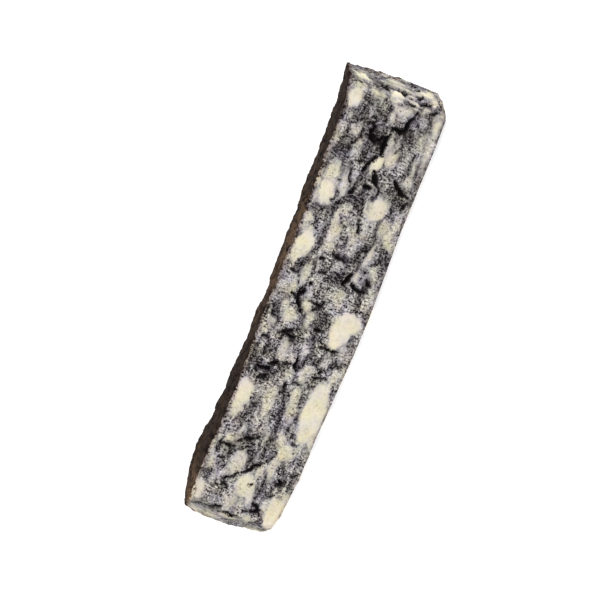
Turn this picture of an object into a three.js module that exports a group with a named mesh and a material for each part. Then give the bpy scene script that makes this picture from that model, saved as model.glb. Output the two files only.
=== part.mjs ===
// A long wedge of marbled cheese, cut lengthwise from a cylindrical cheese with a dark natural rind.
//
// Millimetres, +Z up. The wedge lies on one cut face, which is the plane z = 0. +X runs along its length,
// the rind is on the +Y side, and the thin edge, which was the middle of the whole cheese, is on the -Y
// side. The other cut face looks up and slopes down from the rind to the thin edge. Both ends are broken
// off at a slant, so that the foot is a little longer than the upper face. The origin is under the middle
// of the bounding box.

import * as THREE from "three";
import { mergeVertices } from "three/addons/utils/BufferGeometryUtils.js";

// Driving dimensions
const LENGTH = 230;
const RIND_HEIGHT = 24;
const TIP_HEIGHT = 5;
const RIND_LEAN = THREE.MathUtils.degToRad(28);
const RIND_LUMP = 0.5;

// Outlines of the foot and of the upper face, as mm across the wedge at even steps along it, -X end first
const RIND_FOOT = [
  21.6, 25.3, 27.3, 27.5, 25.7, 25.1, 24.9, 24.6, 24.6, 24.8, 23.9, 24.7, 25.1, 25.3, 25.7, 26.1, 26.4,
  26.6, 26.9, 27.2, 29.2,
];
const RIND_CREST = [22.0, 21.9, 20.9, 20.9, 21.8, 22.1, 21.7, 22.0, 22.9, 23.3, 26.0];
const TIP_EDGE = [-22.4, -24.1, -24.6, -25.3, -26.2, -26.5, -25.9, -25.2, -25.2, -25.4, -25.1];

// How far each end stands back from the full length, at even steps from the thin edge to the rind: the
// foot first, then the further step back of the upper face
const LEFT_FOOT = [4.6, 2.2, 0.0, 0.2, 1.3];
const LEFT_SLANT = [2.0, 4.5, 7.0, 7.0, 6.0];
const RIGHT_FOOT = [0.4, 0.0, 0.2, 1.2, 2.8];
const RIGHT_SLANT = [4.0, 12.0, 13.0, 10.0, 5.5];

// The two corners of the thin edge are worn: how far along and across the wedge, and how round, from 0,
// cut off straight, to 1, an arc
const LEFT_CORNER = { along: 7.5, across: 6.0, roundness: 1.0 };
const RIGHT_CORNER = { along: 9.5, across: 8.5, roundness: 0.3 };

// Grid of the surface
const STEPS = { along: 56, across: 14, up: 6 };

// A smooth curve through values that stand at even steps from 0 to 1.
function curveThrough(values) {
  const places = values.map((_, i) => i / (values.length - 1));
  const curve = new THREE.CubicInterpolant(places, values, 1, new Float32Array(1));
  return (share) => curve.evaluate(THREE.MathUtils.clamp(share, 0, 1))[0];
}

const rindFoot = curveThrough(RIND_FOOT);
const rindCrest = curveThrough(RIND_CREST);
const tipEdge = curveThrough(TIP_EDGE);
const leftFoot = curveThrough(LEFT_FOOT);
const leftSlant = curveThrough(LEFT_SLANT);
const rightFoot = curveThrough(RIGHT_FOOT);
const rightSlant = curveThrough(RIGHT_SLANT);

// How far a worn corner stands back from the end, at a share of the width from the thin edge.
function wornCorner({ along, across, roundness }, share, width) {
  const near = Math.max(0, 1 - (share * width) / across);
  const arc = 1 - Math.sqrt(1 - near * near);
  return along * THREE.MathUtils.lerp(near, arc, roundness);
}

// The rind is an arc of the whole cheese: upright at the foot, and leaning in towards the top.
function lean(up) {
  return (1 - Math.cos(up * RIND_LEAN)) / (1 - Math.cos(RIND_LEAN));
}

// Low swellings of the rind, from old folds of the cheesecloth.
function rindLump(along, up) {
  const folds = Math.sin(61 * along + 2.2 * up) + 0.7 * Math.sin(27 * along - 3.1 * up + 1.3);
  return RIND_LUMP * folds * Math.sin(Math.PI * up);
}

// Even steps drawn together towards both ends, where the surface turns most.
function gathered(share) {
  return 0.5 * share + 0.25 * (1 - Math.cos(Math.PI * share));
}

// The place on the wedge of a point of the unit cube: shares along, across and up.
function place(alongStep, acrossStep, up) {
  const along = gathered(alongStep);
  const across = gathered(acrossStep);
  const width = rindFoot(along) - tipEdge(along);
  const left = leftFoot(across) + up * leftSlant(across) + wornCorner(LEFT_CORNER, across, width);
  const right = rightFoot(across) + up * rightSlant(across) + wornCorner(RIGHT_CORNER, across, width);
  const x = THREE.MathUtils.lerp(left, LENGTH - right, along) - LENGTH / 2;
  const rind = THREE.MathUtils.lerp(rindFoot(along), rindCrest(along), lean(up)) + rindLump(along, up);
  const y = THREE.MathUtils.lerp(tipEdge(along), rind, across);
  const z = up * THREE.MathUtils.lerp(TIP_HEIGHT, RIND_HEIGHT, across);
  return new THREE.Vector3(x, y, z);
}

function wedgeGeometry() {
  const box = new THREE.BoxGeometry(1, 1, 1, STEPS.along, STEPS.across, STEPS.up);
  box.deleteAttribute("normal");
  box.deleteAttribute("uv");
  const geometry = mergeVertices(box, 1e-5);
  const points = geometry.getAttribute("position");
  for (let i = 0; i < points.count; i++) {
    const made = place(points.getX(i) + 0.5, points.getY(i) + 0.5, points.getZ(i) + 0.5);
    points.setXYZ(i, made.x, made.y, made.z);
  }
  geometry.computeBoundingBox();
  const middle = geometry.boundingBox.getCenter(new THREE.Vector3());
  geometry.translate(-middle.x, -middle.y, -geometry.boundingBox.min.z);
  geometry.computeVertexNormals();
  return geometry;
}

const paste = new THREE.MeshStandardMaterial({ color: 0x9a968f, roughness: 0.6, metalness: 0 });

const wedge = new THREE.Mesh(wedgeGeometry(), paste);
wedge.name = "cheese_wedge";

const group = new THREE.Group();
group.add(wedge);

export default group;
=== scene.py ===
"""The looks of a long wedge of marbled cheese with a dark natural rind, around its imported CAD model.

The wedge is one piece. Its surface is remeshed finely, and a Geometry Nodes tree gives it curds, cracks,
crumbled ends and a folded rind, and writes down as attributes where they are. One material paints paste and
rind from them. Places and sizes are in millimetres where a name or comment says so, and in metres otherwise.
"""

import math
import random
from types import SimpleNamespace

import bmesh
import bpy
from bpy.props import FloatProperty, FloatVectorProperty, IntProperty, PointerProperty
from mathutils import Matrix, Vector
from mathutils.bvhtree import BVHTree


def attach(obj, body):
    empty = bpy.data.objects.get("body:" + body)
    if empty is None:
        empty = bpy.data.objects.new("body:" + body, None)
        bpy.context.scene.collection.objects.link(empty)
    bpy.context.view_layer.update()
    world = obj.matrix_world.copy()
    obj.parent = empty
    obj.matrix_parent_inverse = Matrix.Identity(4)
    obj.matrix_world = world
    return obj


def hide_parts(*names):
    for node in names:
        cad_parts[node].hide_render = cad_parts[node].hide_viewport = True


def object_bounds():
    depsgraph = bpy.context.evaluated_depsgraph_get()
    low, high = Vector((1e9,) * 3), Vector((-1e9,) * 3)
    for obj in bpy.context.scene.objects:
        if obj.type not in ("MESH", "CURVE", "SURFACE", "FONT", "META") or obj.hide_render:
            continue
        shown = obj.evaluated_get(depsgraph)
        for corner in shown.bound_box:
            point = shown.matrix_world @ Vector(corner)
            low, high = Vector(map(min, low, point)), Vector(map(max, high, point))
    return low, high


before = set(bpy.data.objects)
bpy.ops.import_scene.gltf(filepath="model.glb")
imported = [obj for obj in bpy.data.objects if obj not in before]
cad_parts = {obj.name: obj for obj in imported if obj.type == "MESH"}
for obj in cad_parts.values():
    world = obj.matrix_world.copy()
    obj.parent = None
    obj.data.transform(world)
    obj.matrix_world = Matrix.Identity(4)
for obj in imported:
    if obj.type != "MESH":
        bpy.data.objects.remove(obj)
CAD_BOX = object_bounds()

bl_info = {
    "name": "Marbled cheese wedge",
    "version": (1, 0, 0),
    "blender": (4, 5, 0),
    "location": "3D View > Sidebar > Cheese",
    "description": "Builds a wedge of marbled cheese with a natural rind",
    "category": "Object",
}

NODE = "cheese_wedge"
MM = 0.001

# Pale curds of the upper face: mm along from the -X end, mm across from the rind side, half length, half
# width, turn in degrees, and paleness from 0, grey, to 1, cream
CURDS = [
    (13.2, 10.2, 4, 3.6, 0, 0.97), (8, 8.6, 2.5, 1.1, 0, 0.7), (3.3, 11.5, 1.3, 3.3, 0, 0.78),
    (2.8, 20.5, 1.4, 3, 0, 0.84), (5.2, 28, 0.9, 3, 0, 0.7), (11.5, 16, 1.8, 2.4, 0, 0.52),
    (19, 15, 3.6, 1.5, -15, 0.68), (25.3, 16.6, 1.6, 0.8, -35, 0.4), (27.5, 11.5, 3.8, 1.6, 0, 0.78),
    (33.4, 8.7, 3.8, 1, 0, 0.8), (22.5, 8.6, 2.2, 0.8, 0, 0.66), (43.5, 9.7, 5.2, 0.8, 0, 0.82),
    (41, 15, 2.8, 2.5, 0, 0.77), (46.6, 19.2, 2.0, 1.3, 0, 0.88), (30.8, 22.8, 6.3, 3.6, -12, 0.88),
    (25, 18.7, 2.8, 1.3, -30, 0.8), (21.5, 30.5, 5.7, 5, 0, 0.94), (17.5, 34.3, 4, 2, 8, 0.95),
    (12.5, 26.2, 4.2, 3.8, 0, 0.76), (13, 31.5, 2.6, 1.6, 0, 0.64), (30, 34.5, 2.7, 1.9, -15, 0.84),
    (34.2, 39.6, 5.6, 1.9, 0, 0.9), (7.5, 36.2, 2.5, 1.7, 0, 0.7), (21, 24, 2, 1.5, 0, 0.62),
    (43.3, 43, 3.8, 4, 0, 0.92), (48.5, 38.3, 4.2, 2.1, 22, 0.84), (14, 47.9, 8.6, 4, 0, 1),
    (16, 43.4, 2.5, 2, 0, 0.86), (21.6, 50.8, 3.3, 1.6, 0, 0.86), (23, 47.3, 2, 1.4, 0, 0.66),
    (41.5, 31, 1.3, 1, 0, 0.6), (36.2, 31, 1.7, 1.1, 0, 0.6), (63.7, 13.4, 6.8, 4.2, 0, 1),
    (55.5, 12.6, 5, 2.6, 0, 0.9), (58.5, 9.7, 7.5, 0.9, 0, 0.74), (65, 19.4, 4.2, 1.1, 0, 0.64),
    (63.5, 25.8, 7.2, 2.7, 0, 0.82), (52.8, 23.3, 4.6, 1.5, 5, 0.7), (51.2, 28.6, 3, 1.2, 0, 0.68),
    (49, 30.6, 2, 1, 0, 0.66), (56.8, 27, 1.6, 1.6, 0, 0.6), (45, 31, 1.3, 0.8, 0, 0.62),
    (78.2, 29.8, 4, 1.5, -22, 0.76), (79.8, 36.5, 4.3, 2.4, 0, 0.76), (73.4, 33, 2, 1.1, 0, 0.5),
    (66.5, 36.8, 5, 2.4, 0, 0.8), (59.8, 37.7, 3.6, 1.8, 0, 0.8), (70.8, 36.4, 3.5, 1.8, 0, 0.86),
    (66, 47.2, 15.3, 6.4, 0, 1), (56.5, 46.8, 6.5, 4.4, 12, 0.96), (84.6, 50.6, 4, 2.2, 0, 0.86),
    (52.2, 51.4, 4, 1.5, 0, 0.92), (46.3, 47.9, 2.8, 1.1, 0, 0.78), (45.3, 50.6, 2.5, 1.2, 0, 0.62),
    (88.2, 23.6, 4.4, 2.5, 0, 0.82), (86.7, 29, 1.9, 2.5, 20, 0.7), (88, 12.8, 2, 1.3, 0, 0.68),
    (84, 38.4, 2.3, 2.4, 0, 0.74), (90.4, 44.2, 3.2, 1.5, 0, 0.58), (90.6, 9.3, 2.2, 1, 0, 0.8),
    (88.5, 53.5, 3, 0.9, 0, 0.7), (75, 25.8, 3, 1.1, 0, 0.46), (94.6, 11.5, 3.8, 2, 0, 0.7),
    (94.2, 16.5, 3.4, 1.3, 0, 0.64), (104.4, 19.5, 3.5, 3.7, 0, 0.85), (109, 16.3, 3.2, 2.2, -18, 0.76),
    (101, 21, 1.1, 1.9, 0, 0.58), (110.4, 10.6, 2.3, 1.4, 0, 0.56), (117, 11.9, 4, 2.1, 0, 0.64),
    (124, 10.5, 2.2, 1, 0, 0.5), (118.3, 16, 4.2, 1.5, 0, 0.86), (122.6, 13.8, 1.5, 1.9, 0, 0.74),
    (125.8, 19.6, 4.5, 1.7, 0, 0.85), (112.4, 25.7, 2.9, 1.9, 0, 0.84), (117.5, 24.8, 2.5, 1.5, 0, 0.76),
    (124.5, 26, 2.5, 1.6, 0, 0.66), (130.6, 23.6, 2, 1.4, 0, 0.64), (106.4, 29, 4.3, 1.7, -8, 0.76),
    (100.5, 13, 2.2, 1.2, 0, 0.74), (92.4, 32.7, 3.5, 1.7, 0, 0.76), (99, 30, 1.2, 1.5, 0, 0.62),
    (122.5, 30, 2.5, 1.4, 0, 0.58), (134.3, 32, 2, 2.6, 0, 0.68), (118.5, 35.4, 3.5, 1.2, 0, 0.64),
    (120.5, 38.6, 4.4, 2.8, 0, 0.74), (121.7, 44, 3.6, 1.8, -8, 0.62), (104.6, 44.6, 7.5, 5, 0, 1),
    (111.5, 46.6, 5.3, 7.6, 0, 1), (105.5, 47.4, 5.5, 2.8, 0, 1), (97, 50, 3.5, 1.6, 0, 0.82),
    (95.5, 53.4, 4, 0.9, 0, 0.64), (126.5, 51.9, 6, 1.7, 0, 0.78), (132.9, 42.6, 2.8, 1.6, 0, 0.88),
    (132.2, 45.6, 2.7, 0.9, -12, 0.58), (139.2, 13.3, 7, 4.5, 0, 1), (133, 12, 4, 2.5, 0, 0.94),
    (151, 10.7, 3.2, 2.5, 0, 0.92), (146.6, 10.3, 3, 1.4, 0, 0.76), (148.5, 18, 3.3, 1.2, 5, 0.68),
    (154, 15.6, 1.5, 1.3, 0, 0.46), (165.8, 13.7, 7.8, 4.1, 0, 1), (174, 13.4, 6, 3.3, 0, 0.84),
    (168.6, 8.8, 3.5, 1.2, 0, 0.88), (162.4, 9.6, 2, 1.4, 0, 0.82), (171.5, 20.4, 5, 1.9, 8, 0.9),
    (177.5, 23.4, 3.4, 1.2, 0, 0.7), (138, 21.5, 2, 1.2, 0, 0.66), (142, 24.6, 3, 2, 0, 0.76),
    (149.3, 24.8, 6, 2, 5, 0.87), (156, 23.1, 4.6, 1.8, 0, 0.92), (160.3, 26, 3, 2.2, -40, 0.74),
    (145.6, 29.5, 1.9, 1.4, 0, 0.68), (151.6, 31.5, 2.5, 2.6, 0, 0.76), (156.2, 29, 2, 1.9, 0, 0.54),
    (147, 34.8, 5, 2.2, 0, 0.77), (135.6, 38.5, 2.5, 1, 0, 0.5), (166, 38.8, 6.3, 4.6, -15, 0.94),
    (156, 37.6, 5, 1.7, 12, 0.76), (158, 40.6, 3.5, 1.4, 0, 0.7), (168.5, 43.4, 3, 1.3, 0, 0.72),
    (144, 44.6, 5, 2.1, -5, 0.88), (138, 48.3, 2.8, 2.9, 0, 0.74), (149.2, 46.6, 2.4, 1.4, 0, 0.48),
    (159.5, 46, 5, 2.4, 0, 0.72), (156.5, 49.6, 5, 2.7, 0, 0.82), (152.5, 51.6, 2.6, 1.7, 0, 0.76),
    (163.5, 51, 4.3, 2.4, 0, 0.8), (172, 34.5, 1.7, 1.8, 0, 0.54), (176.7, 31.5, 1.2, 2, 0, 0.7),
    (177, 39.5, 3, 1.4, 0, 0.42), (170, 53, 3, 0.9, 0, 0.54), (134.5, 53, 3, 1, 0, 0.56),
    (196.5, 9.8, 3.3, 1.7, 0, 0.68), (189, 7.8, 3.5, 0.9, 0, 0.8), (212, 10, 5, 3.5, 0, 1),
    (217, 10.5, 2, 4, 0, 0.84), (202.6, 11, 2.6, 1.3, 0, 0.62), (187, 19.5, 3.3, 2.2, 0, 0.68),
    (192.8, 20.8, 1.9, 1.3, 0, 0.84), (198, 15.8, 2.8, 2.5, 0, 0.78), (207.8, 19.4, 2.8, 1.5, 0, 0.56),
    (213, 22.4, 2.5, 1.2, 0, 0.4), (217.8, 18, 2.2, 2.1, 0, 0.58), (218.5, 22, 2.2, 1.2, 0, 0.7),
    (222.8, 9, 2.2, 4, 0, 1), (219.8, 28.6, 3.5, 4.2, 0, 1), (225.6, 28, 1.3, 6, 0, 0.66),
    (221, 34.8, 1.8, 2.4, 0, 0.56), (214.4, 33.4, 2.1, 4.3, 0, 0.9), (210.5, 29.8, 3.4, 1.4, 10, 0.8),
    (210, 34.5, 1.4, 2.4, 0, 0.56), (226, 42, 2, 4.5, 0, 0.8), (219.6, 38.7, 1.4, 1.4, 0, 0.76),
    (219.4, 44.4, 1.7, 1.8, 0, 0.5), (186.8, 31.4, 4.8, 2.2, -20, 1), (196.5, 33.7, 5, 1.3, 3, 0.8),
    (191.6, 37, 4.8, 2.8, 0, 0.86), (187.5, 42, 4.3, 2.3, 0, 0.54), (193.4, 43.3, 3.5, 1.3, 15, 0.7),
    (213, 44.2, 3.2, 2.3, 0, 0.52), (205, 44.6, 2.5, 1.2, 0, 0.46), (199, 47, 4.8, 1.3, 5, 0.72),
    (192, 48.5, 5, 1, 0, 0.82), (184, 48, 3.3, 2.7, 0, 0.76), (205.5, 47.8, 3.4, 1.3, 0, 0.74),
    (204, 51.5, 13, 1.5, 2, 0.78), (212.5, 51.5, 6, 1.4, 0, 0.94), (198, 36.6, 2.6, 0.9, 0, 0.6),
    (224.8, 46.3, 1.7, 2, 0, 0.88), (122, 33.8, 3, 0.8, 0, 0.56),
]

# Open cracks and pits of the upper face, carved in and painted near black inside as shade, each a chain of
# (mm along, mm across, half width in mm)
CRACKS = [
    [(4.8, 10.8, 1.2), (5.5, 13.5, 1.8), (6.1, 17, 2.1), (6, 19.3, 2.2), (7, 21.8, 2.2), (8.3, 23.8, 0.9)],
    [(5.4, 24, 1.2), (5.8, 27, 1.6), (5.7, 30, 1.7), (6.2, 32, 1.2)],
    [(20.8, 19, 0.2), (22.2, 20.7, 0.6), (23.3, 22.7, 0.5), (24.8, 24.1, 0.8), (26.8, 25, 0.4)],
    [(27.3, 27.5, 0.3), (29.4, 29.9, 0.9), (32, 31.4, 1), (33.8, 34, 0.5), (35, 35.5, 0.2)],
    [(10.3, 34.6, 0.2), (10.9, 37.6, 0.5), (12.4, 40, 0.8), (13.4, 43, 0.2)],
    [(15, 37.6, 0.6), (14.6, 39.6, 1), (12.8, 40.7, 0.9), (10.8, 42.3, 0.5)],
    [(28, 43.2, 0.5), (27.6, 45.4, 0.6), (28.7, 46.2, 1), (30, 44.6, 0.6)],
    [(22.7, 32.3, 0.5), (23.4, 33.8, 0.6)], [(37.2, 12, 0.5), (37.3, 15.5, 0.7), (37.6, 19, 0.6)],
    [(40.5, 19.5, 0.5), (41.6, 21.6, 0.5), (43.5, 23.2, 0.8), (44, 26, 0.7)],
    [(46, 22.5, 0.4), (47.4, 23.6, 0.5)], [(32.6, 15.5, 0.2), (34, 19, 0.4)],
    [(20.5, 43, 0.4), (22, 45, 0.5)], [(20, 20.5, 0.6), (19, 22.4, 0.7)],
    [(72, 16.5, 0.4), (72.3, 20, 0.4), (73.6, 17.4, 0.6), (74.1, 20, 0.7)],
    [(77, 14.5, 0.5), (77.3, 17.5, 0.8), (77.6, 20.5, 0.8)], [(80.6, 20.3, 0.6), (81.8, 23.6, 0.9)],
    [(82, 26, 0.3), (83.6, 29, 0.4)], [(81, 33, 0.6), (83.5, 31.4, 0.9), (87.4, 31.6, 0.8)],
    [(70.5, 30.8, 0.5), (73.5, 30, 0.5)], [(75.5, 33, 0.4), (75.8, 35, 0.6), (76.1, 37, 0.3)],
    [(68.8, 39.7, 0.4), (70.5, 40, 0.2)], [(74.6, 39.9, 0.1), (77, 41.4, 0.1)],
    [(79, 41.8, 0.2), (80.8, 42.4, 0.4)],
    [(81.2, 41, 0.5), (81.8, 43.5, 0.6), (82.5, 46.5, 0.6), (82.3, 48.5, 0.3)],
    [(84.8, 43.5, 0.8), (85.1, 44.3, 0.6)], [(90, 49, 0.3), (90.9, 52, 0.4)],
    [(59.5, 18.5, 0.4), (60.5, 21.5, 0.3)], [(61.9, 17.4, 0.3), (62, 19.2, 0.3)],
    [(63.8, 17.4, 0.3), (63.5, 19.6, 0.3)], [(60.9, 38.9, 0.5), (61.1, 39.4, 0.4)],
    [(50.8, 42.3, 0.6), (51, 42.8, 0.5)], [(52.7, 42.4, 0.1), (52.8, 42.8, 0.1)],
    [(48.1, 44.3, 0.2), (47.8, 45.2, 0.2)],
    [(95.9, 17, 0.4), (96, 19, 0.3), (96.4, 20.6, 0.6), (98.6, 23.4, 0.5)],
    [(96, 22.5, 0.6), (95.3, 25.5, 0.7)],
    [(110.2, 23, 0.9), (112.5, 21.6, 1.1), (115.4, 20.2, 1), (119.8, 20.6, 0.5)],
    [(113.8, 19.4, 0.6), (114.9, 17.2, 0.8)], [(116.2, 21, 0.9), (118, 22.2, 1.2)],
    [(114.5, 25.8, 0.4), (114.3, 28.5, 0.5), (114, 32.6, 0.8), (116.5, 33, 0.5)],
    [(110.8, 28.9, 0.4), (112, 30.6, 0.4)], [(108.4, 24.3, 0.9), (109, 24.6, 0.8)],
    [(122, 23.6, 1), (122.3, 24.3, 1)], [(129, 25.5, 0.5), (129.5, 27.8, 0.6)],
    [(135.1, 23.6, 0.7), (135.4, 24.5, 0.8)], [(131.3, 32.3, 0.6), (130.8, 35, 0.7)],
    [(128, 38, 0.9), (129.2, 38.4, 1.2), (131.2, 39.3, 1.5), (134.1, 40.3, 0.8)],
    [(129.5, 41.8, 0.6), (128, 43.5, 1.2), (127.4, 46.5, 0.7), (127.6, 49, 0.5)],
    [(134, 47.3, 0.4), (132.4, 48.9, 0.9), (131.3, 51, 0.5)], [(102.8, 34.3, 0.7), (103.2, 36.3, 0.8)],
    [(104.2, 14.6, 0.5), (104.5, 14.9, 0.3)], [(102.5, 11.9, 0.4), (103.6, 12, 0.5)],
    [(95.6, 38.5, 0.4), (96.2, 43.3, 0.7), (96.3, 47, 0.7), (97, 48.4, 0.3)],
    [(91, 11.8, 0.6), (91.5, 14.6, 0.7)], [(101, 50.6, 0.5), (101.3, 51.4, 0.4)],
    [(125.3, 12.5, 0.5), (125, 15, 0.5)], [(139.1, 28.5, 0.5), (138.2, 32, 0.7), (138, 35.5, 0.5)],
    [(136.8, 45, 0.5), (137.3, 46.3, 0.4)], [(145.7, 40.4, 0.4), (146.2, 42.6, 0.6)],
    [(153.5, 35.3, 0.8), (156, 34.1, 0.4), (159, 33.4, 0.3)], [(147.5, 28, 0.4), (147.8, 29.8, 0.3)],
    [(164.7, 7.6, 0.6), (165, 8.8, 0.5)], [(160.5, 27.9, 0.4), (160.9, 28.8, 0.4)],
    [(162.8, 17.7, 0.8), (163.2, 18.5, 0.8)], [(168.7, 24.1, 0.5), (170.1, 25.6, 0.8), (172.5, 25.4, 0.4)],
    [(174.2, 22.8, 0.8), (176, 21.6, 0.4), (180.5, 21.3, 0.4)], [(174.6, 30, 0.9), (174.8, 32.8, 1.1)],
    [(172.5, 37.1, 0.4), (175, 37, 0.6), (176.6, 35.9, 0.7), (178.6, 33.9, 1.4), (182.3, 32, 1.1)],
    [(182.4, 42.4, 0.8), (180, 45, 1.2), (177.8, 47.8, 1.1), (177.3, 51.6, 0.5)],
    [(171, 50, 0.5), (173, 51, 0.7)], [(181.5, 26.6, 0.7), (185.5, 27.9, 0.8), (189.5, 29.7, 0.9)],
    [(195.8, 26.6, 1), (197.2, 24, 1.1), (199.5, 23.4, 1.2), (202.6, 24.6, 0.6), (203.2, 22.6, 0.6),
     (203, 19.8, 0.4)],
    [(191.5, 32.1, 1.1), (195.9, 31.6, 1.5), (199, 31.3, 1.3), (201.2, 32.2, 0.7)],
    [(197.6, 21.6, 0.4), (198.6, 24.5, 0.6), (196.6, 28, 0.8), (199.4, 29.4, 0.8)],
    [(204.8, 32, 0.5), (204.7, 35.5, 1), (206, 37.9, 1.3), (211.3, 38.6, 1.1), (213.5, 39.8, 0.5),
     (216.6, 40.8, 0.7)],
    [(208.8, 34.4, 0.5), (209, 35.2, 0.5)], [(210.4, 42, 0.4), (210.7, 42.9, 0.5)],
    [(183.8, 38.8, 0.3), (183.5, 40.8, 0.5)], [(222.3, 20.8, 1.3), (221.9, 23.5, 1.3)],
    [(221.4, 40.6, 0.9), (222.5, 43.2, 1.4), (223.1, 45.2, 1.1)],
    [(218.3, 46.4, 0.6), (218.8, 48, 0.8), (220, 48.8, 0.6)], [(223, 38.5, 0.5), (224.8, 39.8, 0.7)],
    [(227.1, 36, 0.6), (227.2, 36.6, 0.6)], [(223.5, 28.5, 1.3), (223.2, 31.5, 1.3)],
    [(197.4, 12.4, 0.3), (197, 14.2, 0.3)], [(221, 5.5, 0.2), (219.8, 9.5, 0.3), (218.2, 13.8, 0.3)],
    [(223.2, 50.2, 0.6), (225.4, 48.4, 0.8)],
]

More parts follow.
